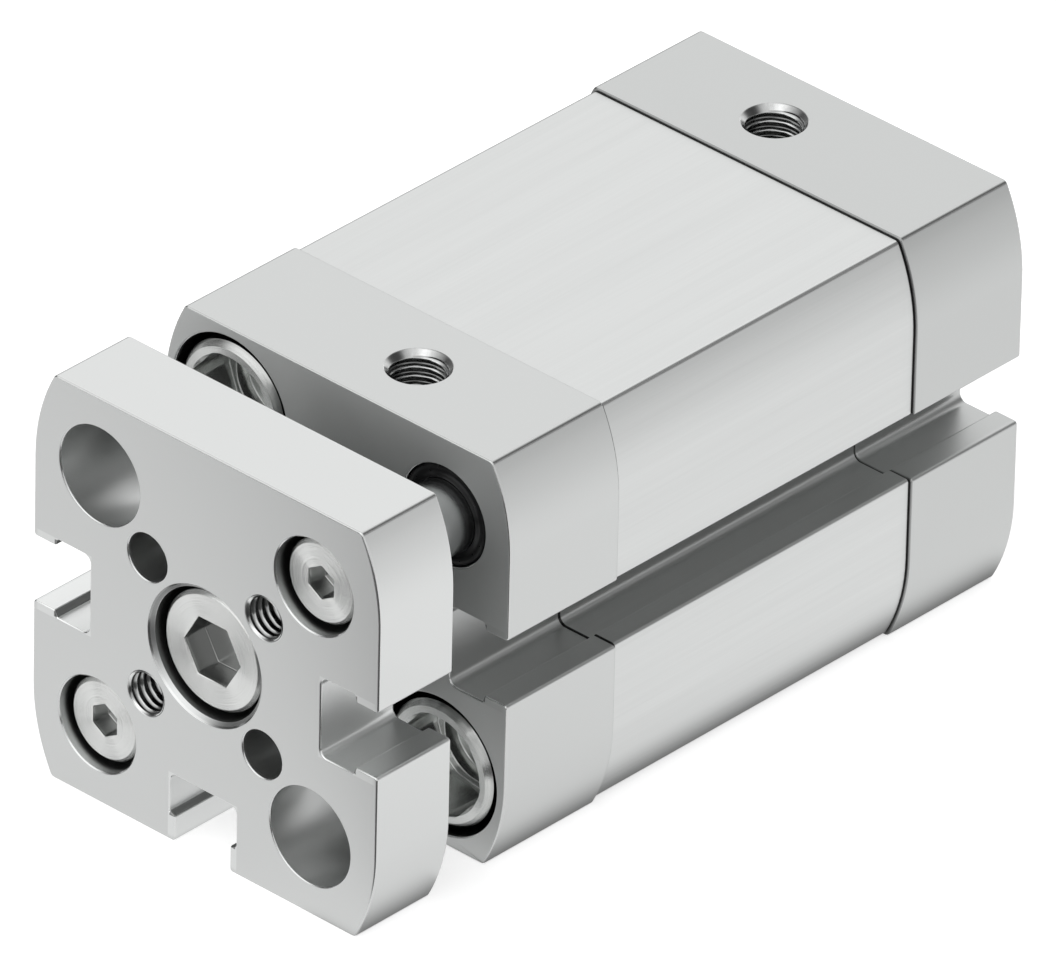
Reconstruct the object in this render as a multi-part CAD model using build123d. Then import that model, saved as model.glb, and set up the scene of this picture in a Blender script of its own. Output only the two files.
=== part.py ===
from build123d import *
import os
from math import asin, cos, degrees, pi, radians, sqrt, tan

# Guided pneumatic cylinder, 20 mm bore and 20 mm stroke, drawn retracted, in millimetres.
# The origin is the middle of the end cap's rear face. The cylinder axis is Y, with the yoke plate
# towards -Y, the supply ports on top (+Z) and the right-hand side, seen from the yoke plate, at +X.

# Square body, seen along the axis
SIDE = 35.5                 # width and height of the caps and the yoke plate
CROWN_RADIUS = 16.0         # arc that draws each side in towards the top and the bottom
CROWN_START = 10.0          # half height of the flat middle of a side
CORNER_ROUND = 0.5          # rounding where that arc meets the top or the bottom
BARREL_INSET = 0.25         # the barrel lies this far inside the outline of the caps

# T-slots in the left, right and bottom faces
SLOT_MOUTH = 5.7            # width of the mouth
SLOT_WIDTH = 6.9            # width behind the lips
SLOT_DEPTH = 5.85           # from the face of the caps to the floor of the slot
LIP_DEPTH = 2.25
LIP_SLOPE = 0.2             # the back of each lip leans by this much
SLOT_ROUND = 0.7            # corners of the slot floor
MOUTH_ROUND = 0.3           # outer edges of the mouth

# Lengths along the axis
STROKE = 20.0
BEARING_CAP_LENGTH = 12.0
END_CAP_LENGTH = 12.0
YOKE_GAP = 6.0              # between yoke plate and bearing cap when retracted
YOKE_THICKNESS = 8.0
SPIGOT_LENGTH = 2.4         # collar of each cap that enters the bore
PISTON_LENGTH = 7.4

# Diameters of what slides
BORE = 20.0
ROD = 10.0
GUIDE_ROD = 6.0

# Clearances, all radial or axial gaps
RUNNING_FIT = 0.03          # a sliding round piece in its bush or bore
SEAT_FIT = 0.02             # a piece in its seat
THREAD_FIT = 0.03           # a screw thread in its tapped hole, both drawn as plain rounds
BOLT_CLEARANCE = 0.2        # a screw shank in a clearance hole
END_PLAY = 0.1              # between piston and bumper at each end of the stroke

# Screws that join caps and barrel
SCREW_SPACING = 22.0        # square of the collar screws and guide rods
COLLAR_POCKET = 11.8        # diameter of the pocket for the head
COLLAR_HEAD = 10.5
COLLAR_HEAD_LENGTH = 6.0
COLLAR_EDGE = 0.45          # chamfer of the head
COLLAR_THREAD = 8.0         # outer thread, which bites in the barrel's channels
COLLAR_ENGAGED = 10.0       # length of that thread inside the barrel
COLLAR_HEX = 7.9            # socket, across flats
COLLAR_HEX_ROUND = 8.4      # diameter that cuts off the corners of the socket
COLLAR_HEX_DEPTH = 4.4
COLLAR_HEX_TURN = 50.0      # the socket is turned by this angle
COLLAR_RELIEF = 7.0         # diameter of the plain bore below the socket
COLLAR_RELIEF_DEPTH = 5.6   # where that bore ends, from the face
MOUNTING_THREAD = 5.0       # thread inside each collar screw

# Centring bore in the end cap
CENTRING_BORE = 9.0
CENTRING_DEPTH = 2.1

# Supply ports
PORT_THREAD = 5.0
PORT_COUNTERSINK = 0.15
PORT_DEPTH = 4.6
PORT_OFFSET = 2.63          # sideways from the axis
PORT_FROM_FACE = 6.0        # from the outer face of its cap
PASSAGE = 1.8               # diameter of the air passage to the bore
PASSAGE_WALL = 0.4

# Yoke plate
YOKE_PATTERN = 12.0         # square of the dowel and tapped holes
DOWEL_HOLE = 4.0
TAPPED_HOLE = 3.7
ACCESS_HOLE = 8.2
HEAD_RECESS = 0.8           # screw heads lie this far below the face
GUIDE_SEAT_DEPTH = 1.5      # guide rods enter the back of the plate by this much
BUSH_RECESS = 0.15          # guide bushes lie this far below the face of the bearing cap

# Low-head screws. The hexagon is measured across flats, and turn is its angle in degrees
ROD_SCREW = dict(thread=6.0, head=10.0, head_length=4.0, hexagon=5.0, socket=2.25, shank=14.0, turn=0)
GUIDE_SCREW = dict(thread=4.0, head=7.0, head_length=2.8, hexagon=2.5, socket=1.75, shank=12.0, turn=30)
ROD_POCKET = 11.0           # pockets in the yoke plate for the two kinds of head
ROD_POCKET_EDGE = 0.4
GUIDE_POCKET = 8.0
GUIDE_POCKET_EDGE = 0.1
HEAD_EDGE = 0.3
THREAD_RUNOUT = 0.7         # a tapped hole goes this much deeper than its screw
DRILL_POINT = 118.0         # angle of a drill's point, in degrees

# Bearing cap inner pieces
ROD_BUSH_WALL = 1.0
GUIDE_BUSH_WALL = 1.15
ROD_SEAL_WALL = 2.0
ROD_SEAL_LENGTH = 3.2
BUSH_LIP = 1.0              # shoulder that holds the rod bush at the spigot

# Seals and bumpers
BARREL_SEAL = 0.9           # section of the O-ring between cap and barrel
BUMPER_WIDTH = 1.4
BUMPER_SEAT = 0.8
BUMPER_PROUD = 0.3
PISTON_GAP = 0.25           # piston body to bore, radial
PISTON_LAND = 0.5
PISTON_SEAL_WIDTH = 1.6
PISTON_SEAL_DEPTH = 2.1
MAGNET_WIDTH = 2.2
MAGNET_THICKNESS = 2.0
WEAR_RING_THICKNESS = 1.2
WEAR_RING_SLIT = 0.6
PISTON_THREAD = 6.0
PISTON_NUT = 10.0           # across flats
PISTON_NUT_LENGTH = 2.4
NUT_RECESS = 0.2
NUT_ROOM = 0.15
ROD_O_RING = 0.9            # section of the O-ring between piston and rod
ROD_EDGE = 0.4              # chamfers on rods and thread ends
BUSH_EDGE = 0.15
GUIDE_OVERRUN = 1.0         # guide rods still reach this far past their bushes when extended

# Stations along the axis, from the rear
REAR_FACE = 0.0
BARREL_REAR = REAR_FACE - END_CAP_LENGTH
BARREL_LENGTH = STROKE + PISTON_LENGTH + 2 * (SPIGOT_LENGTH + BUMPER_PROUD + END_PLAY)
BARREL_FRONT = BARREL_REAR - BARREL_LENGTH
CAP_FACE = BARREL_FRONT - BEARING_CAP_LENGTH
YOKE_BACK = CAP_FACE - YOKE_GAP
YOKE_FACE = YOKE_BACK - YOKE_THICKNESS
PISTON_REAR = BARREL_REAR - SPIGOT_LENGTH - BUMPER_PROUD - END_PLAY
PISTON_FRONT = PISTON_REAR - PISTON_LENGTH
PISTON_MIDDLE = PISTON_REAR - PISTON_LENGTH / 2

# Places seen along the axis, as (x, z), and sizes that follow from the fits
HALF = SCREW_SPACING / 2
GUIDES = {"upper": (HALF, HALF), "lower": (-HALF, -HALF)}
FRONT_SCREWS = {"upper": (-HALF, HALF), "lower": (HALF, -HALF)}
CORNERS = {
    "upper_left": (-HALF, HALF),
    "upper_right": (HALF, HALF),
    "lower_left": (-HALF, -HALF),
    "lower_right": (HALF, -HALF),
}
SPIGOT = BORE / 2 - SEAT_FIT
SEAL_GROOVE = BORE / 2 + BARREL_SEAL + 2 * SEAT_FIT
ROD_BUSH_SEAT = ROD / 2 + RUNNING_FIT + ROD_BUSH_WALL + SEAT_FIT
ROD_SEAL_SEAT = ROD / 2 + RUNNING_FIT + ROD_SEAL_WALL + SEAT_FIT
GUIDE_BUSH_SEAT = GUIDE_ROD / 2 + RUNNING_FIT + GUIDE_BUSH_WALL + SEAT_FIT
PASSAGE_RING = ROD_BUSH_SEAT + PASSAGE_WALL + PASSAGE / 2
PASSAGE_HEIGHT = sqrt(PASSAGE_RING**2 - PORT_OFFSET**2)
BUMPER_INNER = SPIGOT - BUMPER_WIDTH
MAGNET_SEAT = BORE / 2 - RUNNING_FIT - WEAR_RING_THICKNESS - MAGNET_THICKNESS - 2 * SEAT_FIT
NUT_CORNER = PISTON_NUT / 2 / cos(pi / 6)


def across(y):
    """Plane square to the axis at y, seen from the front: X to the right and Z up."""
    return Plane(origin=(0, y, 0), x_dir=(1, 0, 0), z_dir=(0, -1, 0))


def bar(diameter, start, end, at=(0, 0)):
    """Round bar along Y between two stations. It also cuts round holes."""
    disc = across(start) * Pos(*at) * Circle(diameter / 2)
    return extrude(disc, amount=start - end)


def turned(outline, start=0.0, sense=1, at=(0, 0)):
    """Turned piece: (radius, depth) points spun about a line along Y.

    Depth runs from the station start, towards +Y when sense is 1 and towards -Y when it is -1.
    """
    points = [(radius, start + sense * depth) for radius, depth in outline]
    section = make_face(Polyline(*points, close=True))
    x, z = at
    return Pos(x, 0, z) * revolve(section, Axis.Y)


def tube(inner, outer, length, start, sense=1, at=(0, 0), edge=0.0):
    """Turned tube from its two radii, with a chamfer on the outer edges."""
    outline = [(inner, 0), (outer - edge, 0), (outer, edge)]
    outline += [(outer, length - edge), (outer - edge, length), (inner, length)]
    if edge == 0:
        outline = [(inner, 0), (outer, 0), (outer, length), (inner, length)]
    return turned(outline, start, sense, at)


def o_ring(section, inner, y):
    """O-ring about the axis, squeezed in its groove to a square section with blunt corners."""
    squeezed = Pos(inner + section / 2, y) * Rectangle(section, section)
    return revolve(chamfer(squeezed.vertices(), section / 4), Axis.Y)


def drill(diameter, depth, start, sense=1, at=(0, 0)):
    """Blind hole with the cone that a drill leaves at its bottom."""
    radius = diameter / 2
    tip = radius / tan(radians(DRILL_POINT / 2))
    return turned([(0, 0), (radius, 0), (radius, depth), (0, depth + tip)], start, sense, at)


def hexagon(width, turn, start, end, at=(0, 0)):
    """Hexagonal prism along Y from its width across flats."""
    sketch = across(start) * Pos(*at) * RegularPolygon(width / 2, 6, major_radius=False, rotation=turn)
    return extrude(sketch, amount=start - end)


def square_outline(inset):
    """Outline of the square body: flat top and bottom, sides that an arc draws in at both ends."""
    half = SIDE / 2 - inset
    radius = CROWN_RADIUS - inset
    centre = SIDE / 2 - CROWN_RADIUS
    sweep = degrees(asin((half - CROWN_START) / radius))
    top_half = centre + radius * cos(radians(sweep))
    right = CenterArc((centre, CROWN_START), radius, 0, sweep) + Line((half, -CROWN_START), (half, CROWN_START))
    right += CenterArc((centre, -CROWN_START), radius, -sweep, sweep)
    left = mirror(right, Plane.YZ)
    flats = Line((-top_half, half), (top_half, half)) + Line((-top_half, -half), (top_half, -half))
    face = make_face(right.edges() + left.edges() + flats.edges())
    corners = [v for v in face.vertices() if abs(abs(v.Y) - half) < 0.001]
    return fillet(corners, CORNER_ROUND)


def slot_outline():
    """T-slot of the right-hand side: a channel with round floor corners behind two lips."""
    floor = SIDE / 2 - SLOT_DEPTH
    lip = SIDE / 2 - LIP_DEPTH
    half = SLOT_WIDTH / 2
    points = [(floor, -half), (lip - LIP_SLOPE, -half), (lip, -SLOT_MOUTH / 2), (SIDE, -SLOT_MOUTH / 2)]
    points += [(x, -z) for x, z in reversed(points)]
    face = make_face(Polyline(*points, close=True))
    return fillet([v for v in face.vertices() if abs(v.X - floor) < 0.001], SLOT_ROUND)


def body_outline(inset=0.0):
    """Square outline with its three T-slots and the rounded edges of their mouths."""
    outline = square_outline(inset)
    for angle in (0, 180, -90):
        outline -= Rot(0, 0, angle) * slot_outline()
    face = SIDE / 2 - inset
    mouths = []
    for v in outline.vertices():
        near, far = sorted((abs(v.X), abs(v.Y)))
        if abs(far - face) < 0.001 and abs(near - SLOT_MOUTH / 2) < 0.001:
            mouths.append(v)
    return fillet(mouths, MOUTH_ROUND)


def block(start, end, inset=0.0):
    """Length of the slotted square body between two stations."""
    return extrude(across(start) * body_outline(inset), amount=start - end)


def make_barrel():
    """Extruded barrel: bore, a groove for an O-ring at each end, and a channel in each corner."""
    barrel = block(BARREL_FRONT, BARREL_REAR, BARREL_INSET)
    barrel -= bar(BORE, BARREL_FRONT, BARREL_REAR)
    depth = BARREL_SEAL + 2 * SEAT_FIT
    barrel -= tube(0, SEAL_GROOVE, depth, BARREL_FRONT)
    barrel -= tube(0, SEAL_GROOVE, depth, BARREL_REAR, -1)
    for at in CORNERS.values():
        barrel -= bar(COLLAR_THREAD, BARREL_FRONT, BARREL_REAR, at)
    return barrel


def make_spigot(start, sense):
    """Collar that enters the bore, with a step at its end that holds a bumper ring."""
    seat = SPIGOT_LENGTH - BUMPER_SEAT
    outline = [(0, 0), (SPIGOT, 0), (SPIGOT, seat), (BUMPER_INNER, seat)]
    outline += [(BUMPER_INNER, SPIGOT_LENGTH), (0, SPIGOT_LENGTH)]
    return turned(outline, start, sense)


def port_cut(x, y, bore_end):
    """Tapped port on top of a cap, with the passage that leads down and along to the bore."""
    top = SIDE / 2
    radius = PORT_THREAD / 2
    thread_end = top - PORT_COUNTERSINK - PORT_DEPTH
    outline = [(0, top), (radius + PORT_COUNTERSINK, top), (radius, top - PORT_COUNTERSINK)]
    outline += [(radius, thread_end), (0, thread_end)]
    section = Plane.XZ * make_face(Polyline(*outline, close=True))
    cut = revolve(section, Axis.Z)
    cut += Pos(0, 0, (thread_end + PASSAGE_HEIGHT) / 2) * Cylinder(PASSAGE / 2, thread_end - PASSAGE_HEIGHT)
    cut = Pos(x, y, 0) * cut
    return cut + bar(PASSAGE, y, bore_end, (x, PASSAGE_HEIGHT))


def collar_pocket(face, sense, at):
    """Pocket for the head of a collar screw and the clearance hole for its shank."""
    clear = COLLAR_THREAD / 2 + BOLT_CLEARANCE
    length = max(BEARING_CAP_LENGTH, END_CAP_LENGTH)
    pocket = COLLAR_POCKET / 2
    outline = [(0, 0), (pocket, 0), (pocket, COLLAR_HEAD_LENGTH), (clear, COLLAR_HEAD_LENGTH)]
    return turned(outline + [(clear, length), (0, length)], face, sense, at)


def make_bearing_cap():
    """Front cap: bores for rod seal, rod bush and guide bushes, two collar screws and a port."""
    cap = block(CAP_FACE, BARREL_FRONT) + make_spigot(BARREL_FRONT, 1)
    bush_end = BEARING_CAP_LENGTH + SPIGOT_LENGTH - BUSH_LIP
    rod_hole = ROD / 2 + BOLT_CLEARANCE
    outline = [(0, 0), (ROD_SEAL_SEAT, 0), (ROD_SEAL_SEAT, ROD_SEAL_LENGTH), (ROD_BUSH_SEAT, ROD_SEAL_LENGTH)]
    outline += [(ROD_BUSH_SEAT, bush_end), (rod_hole, bush_end), (rod_hole, bush_end + BUSH_LIP)]
    cap -= turned(outline + [(0, bush_end + BUSH_LIP)], CAP_FACE)
    for at in GUIDES.values():
        cap -= bar(2 * GUIDE_BUSH_SEAT, CAP_FACE, BARREL_FRONT, at)
    for at in FRONT_SCREWS.values():
        cap -= collar_pocket(CAP_FACE, 1, at)
    return cap - port_cut(PORT_OFFSET, CAP_FACE + PORT_FROM_FACE, BARREL_FRONT + SPIGOT_LENGTH)


def make_end_cap():
    """Rear cap: centring bore, four collar screws and a port."""
    cap = block(BARREL_REAR, REAR_FACE) + make_spigot(BARREL_REAR, -1)
    cap -= bar(CENTRING_BORE, REAR_FACE - CENTRING_DEPTH, REAR_FACE)
    for at in CORNERS.values():
        cap -= collar_pocket(REAR_FACE, -1, at)
    return cap - port_cut(-PORT_OFFSET, REAR_FACE - PORT_FROM_FACE, BARREL_REAR - SPIGOT_LENGTH)


def make_collar_screw(face, sense, at, cap_length):
    """Tubular screw: flush head with a hexagon socket, outer thread, and a thread inside."""
    length = cap_length + COLLAR_ENGAGED
    bore = MOUNTING_THREAD / 2
    relief = COLLAR_RELIEF / 2
    head = COLLAR_HEAD / 2
    shank = COLLAR_THREAD / 2 - THREAD_FIT
    lead = COLLAR_HEX_ROUND / 2
    outline = [(relief, lead - relief), (lead, 0), (head - COLLAR_EDGE, 0), (head, COLLAR_EDGE)]
    outline += [(head, COLLAR_HEAD_LENGTH), (shank, COLLAR_HEAD_LENGTH), (shank, length - ROD_EDGE)]
    outline += [(shank - ROD_EDGE, length), (bore, length)]
    outline += [(bore, COLLAR_RELIEF_DEPTH), (relief, COLLAR_RELIEF_DEPTH)]
    screw = turned(outline, face, sense, at)
    bottom = face + sense * COLLAR_HEX_DEPTH
    socket = hexagon(COLLAR_HEX, COLLAR_HEX_TURN, face, bottom, at) & bar(COLLAR_HEX_ROUND, face, bottom, at)
    return screw - socket


def make_low_head_screw(size, face, at):
    """Low-head cap screw whose head starts at the station face."""
    head = size["head"] / 2
    shank = size["thread"] / 2 - THREAD_FIT
    top = size["head_length"]
    length = top + size["shank"]
    outline = [(0, 0), (head - HEAD_EDGE, 0), (head, HEAD_EDGE), (head, top), (shank, top)]
    outline += [(shank, length - HEAD_EDGE), (shank - HEAD_EDGE, length), (0, length)]
    screw = turned(outline, face, 1, at)
    return screw - hexagon(size["hexagon"], size["turn"], face, face + size["socket"], at)


def screw_pocket(size, pocket, edge, at):
    """Pocket and clearance hole in the yoke plate for a low-head screw."""
    depth = HEAD_RECESS + size["head_length"]
    clear = size["thread"] / 2 + BOLT_CLEARANCE
    outline = [(0, 0), (pocket / 2 + edge, 0), (pocket / 2, edge), (pocket / 2, depth), (clear, depth)]
    return turned(outline + [(clear, YOKE_THICKNESS), (0, YOKE_THICKNESS)], YOKE_FACE, 1, at)


def make_yoke_plate():
    """Moving plate: screw pockets, access holes for the collar screws, dowel and tapped holes."""
    plate = block(YOKE_FACE, YOKE_BACK)
    plate -= screw_pocket(ROD_SCREW, ROD_POCKET, ROD_POCKET_EDGE, (0, 0))
    for at in GUIDES.values():
        plate -= screw_pocket(GUIDE_SCREW, GUIDE_POCKET, GUIDE_POCKET_EDGE, at)
        plate -= bar(GUIDE_ROD + 2 * SEAT_FIT, YOKE_BACK - GUIDE_SEAT_DEPTH, YOKE_BACK, at)
    for at in FRONT_SCREWS.values():
        plate -= bar(ACCESS_HOLE, YOKE_FACE, YOKE_BACK, at)
    half = YOKE_PATTERN / 2
    for side in (-1, 1):
        plate -= bar(DOWEL_HOLE, YOKE_FACE, YOKE_BACK, (side * half, -side * half))
        plate -= bar(TAPPED_HOLE, YOKE_FACE, YOKE_BACK, (side * half, side * half))
    return plate


def tapped_depth(size, face):
    """Depth of a tapped hole that starts at the station face, for a screw set in the yoke plate."""
    tip = YOKE_FACE + HEAD_RECESS + size["head_length"] + size["shank"]
    return tip + THREAD_RUNOUT - face


def make_piston_rod():
    """Piston rod: tapped front end, and a thin threaded end behind a shoulder for the piston."""
    radius = ROD / 2
    journal = PISTON_THREAD / 2 - SEAT_FIT
    shoulder = PISTON_FRONT - YOKE_BACK
    end = PISTON_REAR - NUT_RECESS - YOKE_BACK
    outline = [(0, 0), (radius - ROD_EDGE, 0), (radius, ROD_EDGE), (radius, shoulder), (journal, shoulder)]
    outline += [(journal, end - ROD_EDGE), (journal - ROD_EDGE, end), (0, end)]
    rod = turned(outline, YOKE_BACK)
    return rod - drill(ROD_SCREW["thread"], tapped_depth(ROD_SCREW, YOKE_BACK), YOKE_BACK)


def make_guide_rod(at):
    """Guide rod: seated and screwed in the yoke plate, free in the barrel's corner channel."""
    radius = GUIDE_ROD / 2
    start = YOKE_BACK - GUIDE_SEAT_DEPTH
    length = BARREL_FRONT + STROKE + GUIDE_OVERRUN - start
    outline = [(0, 0), (radius, 0), (radius, length - ROD_EDGE), (radius - ROD_EDGE, length), (0, length)]
    rod = turned(outline, start, 1, at)
    return rod - drill(GUIDE_SCREW["thread"], tapped_depth(GUIDE_SCREW, start), start, 1, at)


def make_piston_half(face, sense, pocket, pocket_depth):
    """Half of the piston: a seal groove, the seat of the magnet, and a pocket in its outer face."""
    outer = BORE / 2 - PISTON_GAP
    groove = BORE / 2 - PISTON_SEAL_DEPTH
    core = MAGNET_SEAT
    bore = PISTON_THREAD / 2
    half = PISTON_LENGTH / 2
    groove_end = PISTON_LAND + PISTON_SEAL_WIDTH
    step = half - MAGNET_WIDTH / 2
    outline = [(pocket, 0), (outer, 0), (outer, PISTON_LAND), (groove, PISTON_LAND), (groove, groove_end)]
    outline += [(outer, groove_end), (outer, step), (core, step), (core, half), (bore, half)]
    return turned(outline + [(bore, pocket_depth), (pocket, pocket_depth)], face, sense)


def make_piston_seal(face, sense):
    """Lip seal: two lips with a groove between them, open towards the pressure."""
    inner = BORE / 2 - PISTON_SEAL_DEPTH + SEAT_FIT
    outer = BORE / 2 - RUNNING_FIT
    start = PISTON_LAND + SEAT_FIT
    end = PISTON_LAND + PISTON_SEAL_WIDTH - SEAT_FIT
    third = (outer - inner) / 3
    outline = [(inner, start), (inner + third, start), ((inner + outer) / 2, start + third)]
    outline += [(outer - third, start), (outer, start), (outer - PISTON_GAP, end), (inner, end)]
    return turned(outline, face, sense)


def make_magnet_ring():
    """Ring magnet between the piston halves, for the position sensors in the T-slots."""
    inner = MAGNET_SEAT + SEAT_FIT
    width = MAGNET_WIDTH - 2 * SEAT_FIT
    return tube(inner, inner + MAGNET_THICKNESS, width, PISTON_MIDDLE - width / 2)


def make_wear_ring():
    """Slit plastic ring around the magnet, which keeps the piston off the bore."""
    outer = BORE / 2 - RUNNING_FIT
    width = MAGNET_WIDTH - 2 * SEAT_FIT
    start = PISTON_MIDDLE - width / 2
    ring = tube(outer - WEAR_RING_THICKNESS, outer, width, start)
    return ring - Pos(0, PISTON_MIDDLE, BORE / 2) * Box(WEAR_RING_SLIT, MAGNET_WIDTH, BORE / 4)


def make_piston_nut():
    """Thin nut that clamps the piston on the rod, with its corners turned down at the outer end."""
    start = PISTON_REAR - NUT_RECESS
    flat = PISTON_NUT / 2
    nut = hexagon(PISTON_NUT, 0, start - PISTON_NUT_LENGTH, start)
    cone = [(0, 0), (flat, 0), (flat + PISTON_NUT_LENGTH, PISTON_NUT_LENGTH), (0, PISTON_NUT_LENGTH)]
    nut &= turned(cone, start, -1)
    return nut - bar(PISTON_THREAD, start - PISTON_NUT_LENGTH, start)


def make_rod_bush():
    """Plain bearing of the piston rod, pressed in behind the rod seal."""
    inner = ROD / 2 + RUNNING_FIT
    length = BEARING_CAP_LENGTH + SPIGOT_LENGTH - BUSH_LIP - ROD_SEAL_LENGTH - SEAT_FIT
    return tube(inner, inner + ROD_BUSH_WALL, length, CAP_FACE + ROD_SEAL_LENGTH, 1, (0, 0), BUSH_EDGE)


def make_rod_seal():
    """Rod seal with a wiping lip at the front and a sealing lip towards the bush."""
    inner = ROD / 2 + RUNNING_FIT
    outer = inner + ROD_SEAL_WALL
    end = ROD_SEAL_LENGTH - SEAT_FIT
    lip = ROD_SEAL_WALL / 2
    outline = [(inner, 0), (inner + lip, lip), (outer, lip / 2), (outer, end), (outer - lip / 2, end)]
    outline += [(inner + lip / 2, end - lip), (inner, end), (inner + lip / 2, end / 2)]
    return turned(outline, CAP_FACE)


def make_guide_bush(at):
    """Black plastic bush of a guide rod, through the whole bearing cap."""
    inner = GUIDE_ROD / 2 + RUNNING_FIT
    length = BEARING_CAP_LENGTH - BUSH_RECESS
    return tube(inner, inner + GUIDE_BUSH_WALL, length, CAP_FACE + BUSH_RECESS, 1, at, BUSH_EDGE)


def make_bumper(start, sense):
    """Elastic ring on the step of a spigot, which softens the end of the stroke."""
    length = BUMPER_SEAT + BUMPER_PROUD
    face = start + sense * (SPIGOT_LENGTH - BUMPER_SEAT)
    return tube(BUMPER_INNER + SEAT_FIT, SPIGOT - SEAT_FIT, length, face, sense)


def make_parts():
    """All pieces by node name."""
    rod_o_ring_pocket = PISTON_THREAD / 2 + ROD_O_RING + 2 * SEAT_FIT
    o_ring_depth = ROD_O_RING + 2 * SEAT_FIT
    nut_pocket = NUT_CORNER + NUT_ROOM
    head_face = YOKE_FACE + HEAD_RECESS
    parts = {
        "barrel": make_barrel(),
        "bearing_cap": make_bearing_cap(),
        "end_cap": make_end_cap(),
        "rod_bush": make_rod_bush(),
        "rod_seal": make_rod_seal(),
        "barrel_seal_front": o_ring(BARREL_SEAL, BORE / 2 + SEAT_FIT, BARREL_FRONT + o_ring_depth / 2),
        "barrel_seal_rear": o_ring(BARREL_SEAL, BORE / 2 + SEAT_FIT, BARREL_REAR - o_ring_depth / 2),
        "bumper_front": make_bumper(BARREL_FRONT, 1),
        "bumper_rear": make_bumper(BARREL_REAR, -1),
        "yoke_plate": make_yoke_plate(),
        "rod_screw": make_low_head_screw(ROD_SCREW, head_face, (0, 0)),
        "piston_rod": make_piston_rod(),
        "piston_front": make_piston_half(PISTON_FRONT, 1, rod_o_ring_pocket, o_ring_depth),
        "piston_rear": make_piston_half(PISTON_REAR, -1, nut_pocket, PISTON_NUT_LENGTH + NUT_RECESS),
        "piston_seal_front": make_piston_seal(PISTON_FRONT, 1),
        "piston_seal_rear": make_piston_seal(PISTON_REAR, -1),
        "piston_o_ring": o_ring(ROD_O_RING, PISTON_THREAD / 2 + SEAT_FIT, PISTON_FRONT + o_ring_depth / 2),
        "piston_nut": make_piston_nut(),
        "magnet_ring": make_magnet_ring(),
        "wear_ring": make_wear_ring(),
    }
    for name, at in GUIDES.items():
        parts[f"guide_rod_{name}"] = make_guide_rod(at)
        parts[f"guide_bush_{name}"] = make_guide_bush(at)
        parts[f"guide_screw_{name}"] = make_low_head_screw(GUIDE_SCREW, head_face, at)
    for name, at in FRONT_SCREWS.items():
        parts[f"collar_screw_front_{name}"] = make_collar_screw(CAP_FACE, 1, at, BEARING_CAP_LENGTH)
    for name, at in CORNERS.items():
        parts[f"collar_screw_rear_{name}"] = make_collar_screw(REAR_FACE, -1, at, END_CAP_LENGTH)
    return parts


os.makedirs("parts", exist_ok=True)
for node, shape in make_parts().items():
    export_step(shape, f"parts/{node}.step")
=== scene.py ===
import bpy
import numpy as np
from math import cos, radians, sin
from mathutils import Matrix, Vector


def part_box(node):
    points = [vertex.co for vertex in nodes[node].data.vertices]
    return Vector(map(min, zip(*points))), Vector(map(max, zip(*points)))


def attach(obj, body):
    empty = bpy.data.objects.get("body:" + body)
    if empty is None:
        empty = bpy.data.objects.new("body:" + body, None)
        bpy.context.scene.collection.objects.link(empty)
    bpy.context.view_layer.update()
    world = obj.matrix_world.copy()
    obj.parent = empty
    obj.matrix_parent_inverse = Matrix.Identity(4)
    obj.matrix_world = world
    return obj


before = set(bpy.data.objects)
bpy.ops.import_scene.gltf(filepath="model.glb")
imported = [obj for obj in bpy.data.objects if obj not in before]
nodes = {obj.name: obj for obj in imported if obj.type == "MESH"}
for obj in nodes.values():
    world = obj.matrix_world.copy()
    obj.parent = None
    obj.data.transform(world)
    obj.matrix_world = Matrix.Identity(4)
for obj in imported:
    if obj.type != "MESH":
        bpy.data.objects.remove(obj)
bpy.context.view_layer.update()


# Camera. A long lens, far off, looks down on the corner between the yoke plate and the right-hand
# side, so that parallel edges stay parallel.
camera_target = Vector((0.0, -0.036, 0.0))
camera_azimuth = radians(42.362)
camera_elevation = radians(31.944)
camera_roll = radians(1.313)
camera_distance = 1.6019
camera_offset = (0.000193, -0.000274)
back = Vector((sin(camera_azimuth) * cos(camera_elevation), -cos(camera_azimuth) * cos(camera_elevation),
               sin(camera_elevation)))
sideways = Vector((cos(camera_azimuth), sin(camera_azimuth), 0.0))
upright = back.cross(sideways)
right = sideways * cos(camera_roll) + upright * sin(camera_roll)
up = upright * cos(camera_roll) - sideways * sin(camera_roll)
stand = camera_target + back * camera_distance + sideways * camera_offset[0] + upright * camera_offset[1]
lens = bpy.data.cameras.new("camera")
lens.sensor_width = 36.0
lens.lens = 723.6
lens.clip_end = 20.0
camera = bpy.data.objects.new("camera", lens)
camera.matrix_world = Matrix((
    (right.x, up.x, back.x, stand.x),
    (right.y, up.y, back.y, stand.y),
    (right.z, up.z, back.z, stand.z),
    (0.0, 0.0, 0.0, 1.0)))
bpy.context.scene.collection.objects.link(camera)
bpy.context.scene.camera = camera
bpy.context.scene.view_settings.view_transform = "Standard"


# Studio. A white room lit from everywhere, with one large soft lamp. Dark flags behind and to the
# left and a bright card in front draw the broken edges and turned faces of the metal.
world = bpy.data.worlds.new("studio")
world.use_nodes = True
world.node_tree.nodes.clear()


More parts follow.
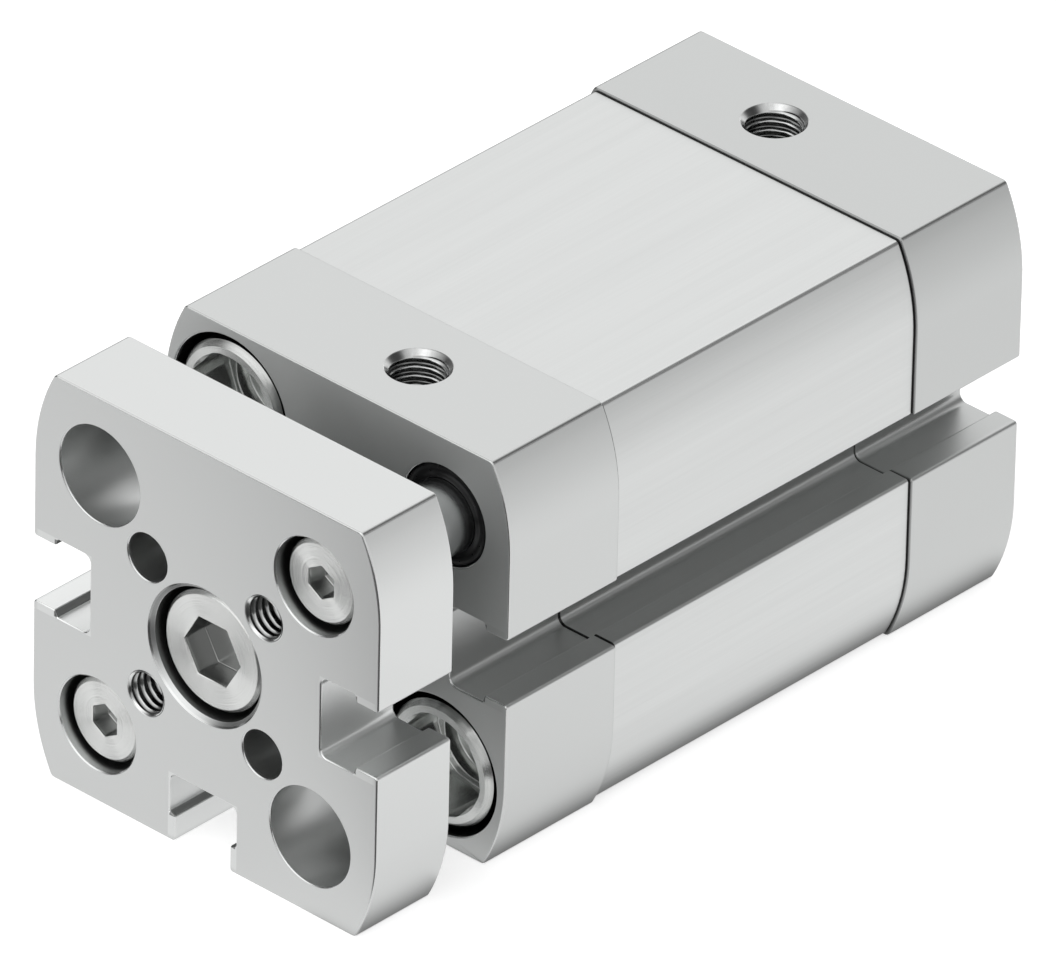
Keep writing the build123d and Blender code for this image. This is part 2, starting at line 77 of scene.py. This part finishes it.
class Wire:
    """One output of a shader node. Arithmetic on wires adds Math nodes to the same tree."""

    def __init__(self, tree, socket=None):
        self.tree = tree
        self.socket = socket

    def node(self, kind, settings=None, inputs=None, output=0):
        """Adds a node: first its settings, then the values or links of its inputs."""
        made = self.tree.nodes.new(kind)
        for name, value in (settings or {}).items():
            setattr(made, name, value)
        for name, value in (inputs or {}).items():
            if isinstance(value, Wire):
                self.tree.links.new(value.socket, made.inputs[name])
            else:
                made.inputs[name].default_value = value
        return Wire(self.tree, made.outputs[output] if made.outputs else None)

    def math(self, operation, *values):
        return self.node("ShaderNodeMath", {"operation": operation}, dict(enumerate(values)))

    def vector(self, operation, *values, output=0):
        return self.node("ShaderNodeVectorMath", {"operation": operation}, dict(enumerate(values)), output)

    def along(self, axis):
        """The X, Y or Z of a place or a direction."""
        return self.node("ShaderNodeSeparateXYZ", {}, {0: self}, axis)

    def __abs__(self):
        return self.math("ABSOLUTE", self)

    def __add__(self, other):
        return self.math("ADD", self, other)

    def __sub__(self, other):
        return self.math("SUBTRACT", self, other)

    def __rsub__(self, other):
        return self.math("SUBTRACT", other, self)

    def __mul__(self, other):
        return self.math("MULTIPLY", self, other)

    __radd__ = __add__
    __rmul__ = __mul__


sky = Wire(world.node_tree)
direction = sky.node("ShaderNodeTexCoord", output="Generated")
seen = sky.node("ShaderNodeLightPath", output="Is Camera Ray")
to_right = sky.vector("DOT_PRODUCT", direction, (0.8, 0.6, 0.0), output="Value")
room_level = 0.81 + 0.08 * to_right


def ramp(value, start, end, low, high):
    """Smooth step of value: low up to start, high from end on."""
    return value.node("ShaderNodeMapRange", {"interpolation_type": "SMOOTHSTEP"},
                      {"Value": value, "From Min": start, "From Max": end, "To Min": low, "To Max": high})


def flag(towards, inner, outer, depth):
    """Share of light that a flag takes away or a card adds: depth within inner degrees, none past outer."""
    nearness = sky.vector("DOT_PRODUCT", direction, Vector(towards).normalized(), output="Value")
    return ramp(nearness, cos(radians(outer)), cos(radians(inner)), 0.0, depth)


flag_behind = flag((0.53, 0.63, 0.57), 12.0, 32.0, 0.8)
flag_left = flag((-0.95, -0.25, 0.05), 20.0, 50.0, 0.8)
flag_on_horizon = flag((-0.75, 0.66, 0.0), 6.0, 20.0, 0.5)
card_in_front = flag((-0.2, -0.8, 0.56), 25.0, 50.0, 0.8)
room = room_level * (1 - flag_behind - flag_left + card_in_front - flag_on_horizon)
strength = room * (1 - seen) + seen
background = sky.node("ShaderNodeBackground", {}, {"Color": (1.0, 1.0, 1.0, 1.0), "Strength": strength})
sky.node("ShaderNodeOutputWorld", {}, {"Surface": background})
bpy.context.scene.world = world


def soft_lamp(name, towards, distance, size, power):
    """Square lamp at a distance from the cylinder in the direction towards, facing it."""
    lamp = bpy.data.lights.new(name, "AREA")
    lamp.shape = "SQUARE"
    lamp.size = size
    lamp.energy = power
    holder = bpy.data.objects.new(name, lamp)
    direction = Vector(towards).normalized()
    turn = direction.to_track_quat("Z", "Y").to_matrix().to_4x4()
    holder.matrix_world = Matrix.Translation(camera_target + distance * direction) @ turn
    bpy.context.scene.collection.objects.link(holder)


soft_lamp("lamp_above", (-0.57, 0.627, 0.529), 1.0, 1.0, 1.15)


# Floor. A white table, on which the two caps and the yoke plate lie, a hair's breadth below them so
# that the faces don't coincide.
floor_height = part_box("end_cap")[0][2] - 0.00002
floor_half = 3.0
floor_mesh = bpy.data.meshes.new("floor")
floor_mesh.from_pydata([(-floor_half, -floor_half, floor_height), (floor_half, -floor_half, floor_height),
                        (floor_half, floor_half, floor_height), (-floor_half, floor_half, floor_height)], [],
                       [(0, 1, 2, 3)])
floor = bpy.data.objects.new("floor", floor_mesh)
bpy.context.scene.collection.objects.link(floor)
table_top = bpy.data.materials.new("table_top")
table_top.use_nodes = True
table_top.node_tree.nodes.clear()
paper = Wire(table_top.node_tree)
to_camera = paper.node("ShaderNodeLightPath", output="Is Camera Ray")
to_metal = paper.node("ShaderNodeLightPath", output="Is Glossy Ray")
spot = paper.node("ShaderNodeTexCoord", output="Object")
east, north = spot.along("X"), spot.along("Y")


def band(value, start, full, fall, end):
    """Smooth hill of value: 0 up to start, 1 from full to fall, and 0 again from end on."""
    return ramp(value, start, full, 0.0, 1.0) * ramp(value, fall, end, 1.0, 0.0)


# In the metal the table's glow carries painted shade: it is dark past its near right-hand corner,
corner = ramp(east - 0.91 * north, 0.084, 0.090, 0.0, 1.0) * ramp(north, -0.076, -0.072, 1.0, 0.0)
# under the right-hand edge of the cylinder, as a painted shadow, but not in the gap between yoke plate and
# cap,
gap_middle, gap_half = -0.0593, 0.0017
under = band(east, 0.0090, 0.0130, 0.0150, 0.0190) * band(north, -0.072, -0.070, 0.0, 0.004)
under = under * ramp(abs(north - gap_middle), gap_half, gap_half + 0.0008, 0.0, 1.0)
# and beyond the cylinder to the left and at the rear, which draws its outline there.
leftwards = ramp(east, -0.035, -0.022, 1.0, 0.0) * ramp(north, -0.068, -0.060, 0.0, 1.0)
backwards = ramp(east, -0.010, 0.0, 1.0, 0.0) * ramp(north, 0.012, 0.030, 0.0, 1.0)
beyond = leftwards.math("MAXIMUM", leftwards, backwards)
# The glow itself is a painted pool of light, brighter to the rear right, and a little darker again far off.
rearwards = east * 0.8 + north * 0.6
table_level = ramp(rearwards, -0.05, 0.02, 0.82, 1.03) * ramp(rearwards, 0.05, 0.2, 1.0, 0.8)
reflected = table_level * (1 - 0.85 * under) * (1 - 0.97 * corner) * (1 - 0.6 * beyond)
# For the metal the table's own colour is dimmed and the glow below stands in for it, a painted reflection;
# the camera sees the table evenly white.
paleness = 0.8 - 0.7 * to_metal
matt = paper.node("ShaderNodeBsdfDiffuse", {}, {"Color": paper.node("ShaderNodeCombineColor", {}, {
    0: paleness, 1: paleness, 2: paleness})})
glow = paper.node("ShaderNodeEmission", {}, {"Color": (1.0, 1.0, 1.0, 1.0),
                                             "Strength": to_camera * 0.6 + to_metal * reflected})
lit = paper.node("ShaderNodeAddShader", {}, {0: matt, 1: glow})
paper.node("ShaderNodeOutputMaterial", {}, {"Surface": lit})
floor_mesh.materials.append(table_top)


# Caps and yoke plate. Aluminium, milled on all sides, pickled and anodised to an even satin, with
# its edges broken by a tenth of a millimetre or two.
def finish_edges(node, width):
    """Joins the loose triangles of a node, rounds its sharp edges by width, and smooths its shading.

    The edges of a chamfer turn by 45 degrees. They are already broken, so they stay crisp.
    """
    weld = node.modifiers.new("weld", "WELD")
    weld.merge_threshold = 1e-6
    flat = node.modifiers.new("flat", "DECIMATE")
    flat.decimate_type = "DISSOLVE"
    flat.angle_limit = radians(0.3)
    bevel = node.modifiers.new("edges", "BEVEL")
    bevel.width = width
    bevel.segments = 3
    bevel.limit_method = "ANGLE"
    bevel.angle_limit = radians(50.0)
    bevel.miter_outer = "MITER_SHARP"
    bevel.use_clamp_overlap = False
    crisp = node.modifiers.new("chamfers", "EDGE_SPLIT")
    crisp.split_angle = radians(40.0)
    shade = node.modifiers.new("shade", "WEIGHTED_NORMAL")
    shade.keep_sharp = False


def principled(name, colour, metallic, roughness):
    """Makes a material, and gives it, its Principled shader and a wire of its Object coordinates."""
    material = bpy.data.materials.new(name)
    material.use_nodes = True
    shader = material.node_tree.nodes["Principled BSDF"]
    shader.inputs["Base Color"].default_value = (*colour, 1.0)
    shader.inputs["Metallic"].default_value = metallic
    shader.inputs["Roughness"].default_value = roughness
    return material, shader, Wire(material.node_tree).node("ShaderNodeTexCoord", output="Object")


def grain(place, scale, detail=2.0):
    """Noise from 0 to 1 whose cells are 1 / scale metres long, along X, Y and Z."""
    stretched = place.node("ShaderNodeMapping", {}, {"Vector": place, "Scale": scale})
    return place.node("ShaderNodeTexNoise", {}, {"Vector": stretched, "Scale": 1.0, "Detail": detail})


def feed(shader, name, wire):
    """Links a wire to an input of the material's shader."""
    wire.tree.links.new(wire.socket, shader.inputs[name])


def tinted(place, colour, change):
    """The colour made lighter or darker by the factor change."""
    return place.node("ShaderNodeVectorMath", {"operation": "SCALE"}, {0: colour, "Scale": change})


def bumps(place, height, distance, strength):
    """Normals of a surface raised by height times distance, in metres, tilted by the share strength."""
    return place.node("ShaderNodeBump", {}, {"Height": height, "Distance": distance, "Strength": strength})


hair = 0.0001
slot_half = 0.0035
slot_floor = 0.0117
slot_mouth = 0.0172
lip_depths = (0.01522, 0.01526, 0.01555, 0.0156)
lip_widths = (0.00288, 0.00292, 0.00338, 0.00343)


def slot_shade(place):
    """1 on the walls of the three T-slots and 0 outside, a mask for painted shade, painted light and a
    little roughness there.
    """
    z = place.along("Z")
    aside, high = abs(place.along("X")), abs(z)
    side = ramp(high, slot_half, slot_half + hair, 1.0, 0.0)
    side = side * band(aside, slot_floor, slot_floor + hair, slot_mouth, slot_mouth + 4 * hair)
    below = ramp(aside, slot_half, slot_half + hair, 1.0, 0.0)
    below = below * band(z, -slot_mouth - 4 * hair, -slot_mouth, -slot_floor - hair, -slot_floor)
    return side + below


def lip_shade(place):
    """1 on the backs of the lips of the three T-slots, where colour is darkened as painted shade, and 0
    elsewhere.
    """
    z = place.along("Z")
    aside, high = abs(place.along("X")), abs(z)
    side = band(aside, *lip_depths) * band(high, *lip_widths)
    below = band(high, *lip_depths) * band(aside, *lip_widths)
    return side + below * ramp(z, -0.00001, 0.0, 1.0, 0.0)


def hole_shade(place, offset, radius, diagonal):
    """1 within the radius of two lines along Y and 0 outside.

    The lines are at the same offset from the axis both ways, on the rising diagonal when diagonal is 1
    and on the falling one when it is -1. With no offset there is one line, the axis.
    """
    x, z = place.along("X"), place.along("Z")
    aside, high = abs(x) - offset, abs(z) - offset
    distance = x.math("SQRT", aside * aside + high * high)
    within = ramp(distance, radius, radius + hair, 1.0, 0.0)
    return within * ramp(x * z * diagonal, -1e-8, 1e-8, 0.0, 1.0) if offset else within


def broken_edges(place, piece, width):
    """1 on the burnished edges round a piece's two ends, its top and its bottom, and 0 on its faces.

    A point is on a broken edge where it lies below an outer face by less than the width of the edge.
    """
    lowest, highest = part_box(piece)
    edges = 0.0
    for axis, number in (("Y", 1), ("Z", 2)):
        here = place.along(axis)
        for below in (here - lowest[number], highest[number] - here):
            edges = edges + band(below, 0.06 * width, 0.2 * width, 0.8 * width, width)
    return edges.math("MINIMUM", edges, 1.0)


def turned_ring(place, front, radius, depth):
    """Painted highlight and shade on a turned chamfer round the axis: 0 in a bright fan, 1 in the dark
    beside it, and 0 elsewhere.

    The chamfer is depth wide and lies inside the radius, below the face at the station front. The painted
    fan is the cosine of twice the angle from its middle, down and to the left.
    """
    x, y, z = (place.along(axis) for axis in "XYZ")
    distance = x.math("SQRT", x * x + z * z)
    ring = band(distance, radius - depth, radius - 0.9 * depth, radius - 0.05 * depth, radius)
    ring = ring * ramp(y, front + 0.05 * depth, front + 0.1 * depth, 0.0, 1.0)
    middle = radians(235.0)
    fan = (x * x - z * z) * cos(2 * middle) + x * z * (2 * sin(2 * middle))
    return ring * (0.5 - fan * (0.5 / (radius - depth / 2) ** 2))


def satin_finish(name, colour, piece, width, rough_face, joint=None, oiled=()):
    """Pickled and anodised aluminium: a very fine even grain, a slight cloudiness, and smooth edges.

    The face at the station rough_face, in the gap between yoke plate and cap, keeps its milled finish.
    On a cap, the slots and the step down to the barrel at the station joint are a little darker, as painted
    shade. Without a joint the piece is the yoke plate, whose slot is a little lighter, as painted light, and
    whose middle pocket's turned chamfer gets a painted fan of highlight and shade. The backs of the slot
    lips and the holes in oiled are darker, as painted shade: each hole is given as the offset, radius and
    diagonal of its lines, the stations between which it darkens, and how dark it gets.
    """
    material, shader, place = principled(name, colour, 1.0, 0.36)
    cloud = grain(place, (90.0, 90.0, 90.0), 3.0)
    pores = grain(place, (9000.0, 9000.0, 9000.0), 1.0)
    y = place.along("Y")
    # Painted shade on the backs of the slot lips, in the holes, in the caps' slots and at the step to the
    # barrel; painted light in the plate's slot, and a painted fan on its middle chamfer.
    dull = 1 - 0.7 * lip_shade(place)
    for offset, radius, diagonal, start, end, darkness in oiled:
        oil = darkness * hole_shade(place, offset, radius, diagonal)
        dull = dull * (1 - oil * ramp(y, start, end, 0.0, 1.0))
    if joint:
        dull = dull * (1 - 0.06 * slot_shade(place))
        dull = dull * ramp(abs(y - joint), 0.00005, 0.00012, 0.55, 1.0)
    else:
        dull = dull * (1 + 0.15 * slot_shade(place))
        dull = dull * (1 - 0.55 * turned_ring(place, plate_front, 0.0059, 0.0004))
    feed(shader, "Base Color", tinted(place, colour, (0.965 + 0.04 * cloud + 0.03 * pores) * dull))
    milled = ramp(abs(y - rough_face), 0.00002, 0.00005, 0.25, 0.0)
    smooth = 1 - 0.5 * broken_edges(place, piece, width)
    roughness = 0.32 + 0.06 * cloud + 0.03 * pores + milled + 0.02 * slot_shade(place)
    feed(shader, "Roughness", roughness * smooth)
    feed(shader, "Normal", bumps(place, pores, 0.000002, 0.5))
    return material


plate_front, plate_back = (corner[1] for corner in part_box("yoke_plate"))
cap_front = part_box("bearing_cap")[0][1]
barrel_front, barrel_rear = (corner[1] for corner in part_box("barrel"))
edge = 0.00016
screw_line = 0.011
plate_hole_line = 0.006
# The holes darkened with painted shade are the recesses of the collar screws in the cap,
cap_pockets = [(screw_line, 0.006, -1, cap_front + 0.0002, cap_front + 0.0005, 0.75)]
# and in the plate the pockets of the rod screw and of the guide screws, and the dowel holes.
plate_pockets = [(0.0, 0.0056, 0, plate_front + 0.00038, plate_front + 0.00042, 0.65),
                 (screw_line, 0.0041, 1, plate_front + 0.0004, plate_front + 0.0011, 0.75),
                 (plate_hole_line, 0.00205, -1, plate_front + 0.0002, plate_front + 0.0004, 0.2)]
for name, colour, rough_face, joint, oiled in (
        ("bearing_cap", (0.60, 0.61, 0.605), cap_front, barrel_front, cap_pockets),
        ("end_cap", (0.56, 0.57, 0.565), 0.0, barrel_rear, ()),
        ("yoke_plate", (0.68, 0.69, 0.685), plate_back, None, plate_pockets)):
    finish_edges(nodes[name], edge)
    satin = satin_finish("satin_" + name, colour, name, edge, rough_face, joint, oiled)
    nodes[name].material_slots[0].material = satin


# Barrel. Extruded aluminium, brushed along the axis before it was anodised, a quarter of a
# millimetre smaller all round than the caps that it is clamped between, with a dark line of painted
# shade at each joint.
barrel_colour = (0.64, 0.65, 0.645)
barrel_edge = 0.0001
seam = 0.00014
brushed, shader, place = principled("brushed_barrel", barrel_colour, 1.0, 0.34)
brush_marks = grain(place, (2600.0, 45.0, 2600.0), 3.0)
hair_lines = grain(place, (11000.0, 120.0, 11000.0), 2.0)
streaks = grain(place, (700.0, 16.0, 700.0), 2.0)
off_middle = place.along("Y") - (barrel_front + barrel_rear) / 2
to_end = (barrel_rear - barrel_front) / 2 - abs(off_middle)
marks = 0.89 + 0.10 * brush_marks + 0.06 * hair_lines + 0.06 * streaks
# Painted shade in the slots and on the backs of their lips.
marks = marks * (1 - 0.14 * slot_shade(place)) * (1 - 0.6 * lip_shade(place))
# Painted shade of the gap at each end, where the barrel meets a cap.
grease = ramp(to_end, seam, seam + 0.00006, 0.06, 1.0)
feed(shader, "Base Color", tinted(place, barrel_colour, marks * grease))
brushed_roughness = 0.26 + 0.10 * brush_marks + 0.06 * hair_lines + 0.02 * slot_shade(place)
feed(shader, "Roughness", brushed_roughness * (1 - 0.6 * broken_edges(place, "barrel", barrel_edge)))
feed(shader, "Normal", bumps(place, hair_lines + brush_marks, 0.000006, 0.4))
finish_edges(nodes["barrel"], barrel_edge)
nodes["barrel"].material_slots[0].material = brushed


# Screws. Steel heads faced on a lathe, so that fine rings round their middle spread the light in
# fans, and zinc plated.
def off_line(place, spacing):
    """Offset of a place, square to it, from a line along Y that lies spacing metres off the axis both ways.

    The absolute values of X and Z fold the four corners of the square together, so that one line
    serves all four. With no spacing the line is the axis, and nothing is folded.
    """
    if spacing:
        place = place.vector("SUBTRACT", place.vector("ABSOLUTE", place), (spacing, 0.0, spacing))
    return place.vector("MULTIPLY", place, (1.0, 0.0, 1.0))


collar_wall = 0.0046


def turned_finish(name, colour, spacing, roughness, station, inwards, depth_shade, wall=1.0):
    """Steel turned about lines along Y, spacing metres from the middle both ways.

    The rings are noise of the distance from the line. They tilt the normal away from the line and
    towards it, so the light spreads in fans, and the signs of X and Z unfold the tilt. Below the face
    of the heads, given as its station and the direction inwards, sockets and shanks are not turned,
    and their colour is multiplied by depth_shade, painted shade below 1 and painted light above it.
    That of a collar's outer wall, which stands further from the line than collar_wall, is multiplied
    by wall as well, as painted shade.
    """
    material, shader, place = principled(name, colour, 1.0, roughness)
    flat = off_line(place, spacing)
    radius = place.vector("LENGTH", flat, output="Value")
    rings, marks = (place.node("ShaderNodeTexNoise", {"noise_dimensions": "1D"}, {
        "W": radius * per_metre, "Scale": 1.0, "Detail": 1.0}) for per_metre in (150000.0, 9000.0))
    on_face = ramp((place.along("Y") - station) * inwards, 2 * hair, 4 * hair, 1.0, 0.0)
    shaded = 1 - (1 - on_face) * (1 - depth_shade * ramp(radius, collar_wall, collar_wall + hair, 1.0, wall))
    feed(shader, "Base Color", tinted(place, colour, (0.97 + 0.06 * marks) * shaded))
    feed(shader, "Roughness", roughness + 0.06 * (1 - on_face))
    outwards = place.vector("NORMALIZE", flat)
    if spacing:
        outwards = place.vector("MULTIPLY", outwards, place.vector("SIGN", place))
    tilt = place.node("ShaderNodeVectorMath", {"operation": "SCALE"}, {
        0: outwards, "Scale": (rings - 0.5) * on_face * 3.0})
    normal = place.node("ShaderNodeNewGeometry", output="Normal")
    feed(shader, "Normal", place.vector("NORMALIZE", place.vector("ADD", normal, tilt)))
    return material


head_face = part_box("rod_screw")[0][1]
bright = (0.78, 0.79, 0.78)
zinc = (0.62, 0.63, 0.62)
polish = 0.16
# The last numbers paint light and shade into the sockets and shanks: painted shade in the rod and guide
# screws and the rear collars, painted light in the front collars, whose outer walls get painted shade.
middle_steel = turned_finish("turned_steel_rod_screw", bright, 0.0, polish, head_face, 1, 0.5)
guide_steel = turned_finish("turned_steel_guide_screw", bright, screw_line, polish, head_face, 1, 0.62)
front_steel = turned_finish("turned_steel_front_collar", zinc, screw_line, polish, cap_front, 1, 1.15, 0.68)
rear_steel = turned_finish("turned_steel_rear_collar", zinc, screw_line, polish, 0.0, -1, 0.9)
steels = {"rod_screw": middle_steel, "guide_screw": guide_steel, "collar_screw_front": front_steel,
          "collar_screw_rear": rear_steel}
for name, node in nodes.items():
    for start, steel in steels.items():
        if name.startswith(start):
            finish_edges(node, 0.0001)
            node.material_slots[0].material = steel


# Threads. Each tapped hole of the CAD is a plain bore, and this lining gives it the cone at its
# mouth and the ridges of its thread, with painted highlights and painted shade in its colour.
def thread_lining(name, body, mouth, inward, fan, mouth_radius, thread, turns, material):
    """Thin threaded tube in a hole, as a grid of angle by depth.

    The thread is given as the radii of its root and crest, and its pitch. At each angle and depth the
    inner wall is a ridge profile of depth / pitch - angle / turn, between root and crest, but never
    narrower than the cone of 45 degrees from the mouth radius. The grooves start where that cone
    ends, and fade into the root at the far end. The outer wall is a plain cylinder just behind it.
    How much each point shines is painted light and shade: 1 on the crests, a painted highlight, less in
    the grooves and deep down, painted shade, and on the turned cone a painted fan, the cosine of four
    times the angle from the direction fan.
    """
    root, crest, pitch = thread
    foil = 0.00001
    around = 64
    per_turn = 10
    depth = np.linspace(0.0, turns * pitch, turns * per_turn + 1)
    angle = np.linspace(0.0, 2 * np.pi, around, endpoint=False)
    d, a = np.meshgrid(depth, angle, indexing="ij")
    phase = (d / pitch - a / (2 * np.pi)) % 1.0
    ridge = np.clip(1.1 - np.abs(phase - 0.5) * 4.0, 0.0, 1.0)
    fade = np.clip((turns * pitch - d) / pitch, 0.0, 1.0)
    started = np.clip((d - 0.6 * (mouth_radius - crest)) / (0.3 * pitch), 0.0, 1.0)
    cut = root - (root - crest) * (1.0 - (1.0 - ridge * fade) * started)
    inner = np.maximum(cut, mouth_radius - d)
    outer = np.maximum(root, mouth_radius - d) + foil
    axis = Vector(inward).normalized()
    side = axis.orthogonal().normalized()
    other = axis.cross(side)
    axis, side, other = (np.array(v) for v in (axis, side, other))
    ring = np.cos(a)[..., None] * side + np.sin(a)[..., None] * other
    towards_fan = ring @ np.array(Vector(fan).normalized())
    cone_shine = 0.66 + 0.34 * (8.0 * towards_fan ** 4 - 8.0 * towards_fan ** 2 + 1.0)

    def points(radius):
        return np.array(mouth) + radius[..., None] * ring + d[..., None] * axis

    rows = len(depth)
    wall = np.concatenate([points(inner), points(outer)[::-1]])
    count = 2 * rows
    row, column = np.meshgrid(np.arange(count), np.arange(around), indexing="ij")
    next_row = (row + 1) % count
    next_column = (column + 1) % around
    quads = np.stack([row * around + column, row * around + next_column, next_row * around + next_column,
                      next_row * around + column], axis=-1).reshape(-1, 4)
    mesh = bpy.data.meshes.new(name)
    mesh.from_pydata(wall.reshape(-1, 3).tolist(), [], quads.tolist())
    mesh.shade_smooth()
    # Painted highlights on the crests and the cone, and painted shade in the grooves and deeper down.
    light = np.where(inner > cut, cone_shine, (0.25 + 0.75 * ridge ** 1.2) / (1.0 + 0.08 * d / pitch))
    shine = mesh.attributes.new("shine", "FLOAT", "POINT")
    shine.data.foreach_set("value", np.concatenate([light, light[::-1]]).ravel())
    piece = bpy.data.objects.new(name, mesh)
    bpy.context.scene.collection.objects.link(piece)
    mesh.materials.append(material)
    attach(piece, body)
    return piece


def thread_finish(name, colour, roughness):
    """Cut metal with a painted highlight on the crests of the thread and painted shade in its roots and deep
    down.
    """
    material, shader, place = principled(name, colour, 1.0, roughness)
    tool_marks = grain(place, (4000.0, 4000.0, 4000.0), 2.0)
    shine = place.node("ShaderNodeAttribute", {"attribute_name": "shine"}, output="Fac")
    feed(shader, "Base Color", tinted(place, colour, (0.85 + 0.3 * tool_marks) * shine))
    return material


m5_thread = (0.00249, 0.00207, 0.0008)
m4_thread = (0.00184, 0.0016, 0.0007)
tapped = thread_finish("cut_thread", (0.80, 0.81, 0.805), 0.18)
port_offset = 0.00263
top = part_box("end_cap")[1][2]
for name, x, y in (("port_thread_front", port_offset, -0.051), ("port_thread_rear", -port_offset, -0.006)):
    lining = thread_lining(name, "housing", (x, y, top), (0, 0, -1), (-0.67, 0.74, 0), 0.002645,
                           m5_thread, 5, tapped)
for name, side in (("yoke_thread_upper", 1), ("yoke_thread_lower", -1)):
    mouth = (plate_hole_line * side, plate_front, plate_hole_line * side)
    lining = thread_lining(name, "yoke", mouth, (0, 1, 0), (-0.5, 0, -0.87), 0.001845, m4_thread, 11, tapped)
screw_thread = thread_finish("screw_thread", (0.6, 0.605, 0.6), 0.25)
socket_depth = 0.0056
for name in list(nodes):
    if name.startswith("collar_screw"):
        low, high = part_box(name)
        inward = 1 if "front" in name else -1
        start = (low if inward == 1 else high)[1] + socket_depth * inward
        mouth = ((low[0] + high[0]) / 2, start, (low[2] + high[2]) / 2)
        lining = thread_lining(name + "_thread", "housing", mouth, (0, inward, 0), (0, 0, 1), 0.002495,
                               m5_thread, 20, screw_thread)


# Piston rod and guide rods. Steel, ground round and chromed, so that only faint rings are left.
# A screw in the front end of each holds it to the yoke plate.
chrome = (0.50, 0.51, 0.51)
chromed, shader, place = principled("chromed_rod", chrome, 1.0, 0.3)
ground = grain(place, (60.0, 20000.0, 60.0), 2.0)
feed(shader, "Base Color", tinted(place, chrome, 0.94 + 0.12 * ground))
feed(shader, "Roughness", 0.19 + 0.10 * ground)
for name in ("piston_rod", "guide_rod_upper", "guide_rod_lower"):
    finish_edges(nodes[name], 0.00008)
    nodes[name].material_slots[0].material = chromed


# Guide bushes and wear ring. Moulded plastic with graphite, black, with a dull sheen. The bushes
# are pressed into the bearing cap, and their ends are slightly hollow, with a raised rim.
black = (0.007, 0.007, 0.0075)
plastic, shader, place = principled("black_plastic", black, 0.0, 0.3)
shader.inputs["Specular IOR Level"].default_value = 0.3
moulded = grain(place, (2500.0, 2500.0, 2500.0), 3.0)
feed(shader, "Base Color", tinted(place, black, 0.8 + 0.4 * moulded))
feed(shader, "Roughness", 0.24 + 0.10 * moulded)
radius = place.vector("LENGTH", off_line(place, screw_line), output="Value")
rim = ramp(radius, 0.0031, 0.0036, 0.0, 1.0) * ramp(radius, 0.0037, 0.0041, 1.0, 0.3)
feed(shader, "Normal", bumps(place, rim, 0.0003, 0.6))
for name in ("guide_bush_upper", "guide_bush_lower", "wear_ring"):
    finish_edges(nodes[name], 0.00008)
    nodes[name].material_slots[0].material = plastic


# Seals and bumpers. Rings moulded of polyurethane, nearly black, with a fine bloom. They sit in
# grooves and recesses of the caps, the barrel's ends and the piston.
soot = (0.025, 0.025, 0.028)
rubber, shader, place = principled("seal_rubber", soot, 0.0, 0.5)
bloom = grain(place, (1200.0, 1200.0, 1200.0), 4.0)
feed(shader, "Base Color", tinted(place, soot, 0.7 + 0.6 * bloom))
feed(shader, "Roughness", 0.42 + 0.16 * bloom)
for name in nodes:
    if name.startswith(("rod_seal", "barrel_seal", "piston_seal", "piston_o_ring", "bumper")):
        finish_edges(nodes[name], 0.00005)
        nodes[name].material_slots[0].material = rubber


# Rod bush. Sintered bronze, full of pores that hold oil. It is pressed into the bearing cap, behind
# the rod seal.
brown = (0.42, 0.27, 0.13)
bronze, shader, place = principled("sintered_bronze", brown, 1.0, 0.4)
pores = grain(place, (5000.0, 5000.0, 5000.0), 2.0)
feed(shader, "Base Color", tinted(place, brown, 0.7 + 0.6 * pores))
feed(shader, "Roughness", 0.3 + 0.25 * pores)
finish_edges(nodes["rod_bush"], 0.00008)
nodes["rod_bush"].material_slots[0].material = bronze


# Piston. Two turned aluminium halves with a ring of bonded magnet powder between them, clamped on
# the end of the piston rod by a nut.
alloy_colour = (0.6, 0.61, 0.61)
turned_alloy, shader, place = principled("turned_alloy", alloy_colour, 1.0, 0.28)
passes = grain(place, (80.0, 14000.0, 80.0), 2.0)
feed(shader, "Base Color", tinted(place, alloy_colour, 0.9 + 0.2 * passes))
magnet_colour = (0.07, 0.07, 0.075)
magnet, shader, place = principled("bonded_magnet", magnet_colour, 0.4, 0.55)
powder = grain(place, (6000.0, 6000.0, 6000.0), 3.0)
feed(shader, "Base Color", tinted(place, magnet_colour, 0.6 + 0.8 * powder))
for name, material in (("piston_front", turned_alloy), ("piston_rear", turned_alloy),
                       ("piston_nut", middle_steel), ("magnet_ring", magnet)):
    finish_edges(nodes[name], 0.00008)
    nodes[name].material_slots[0].material = material
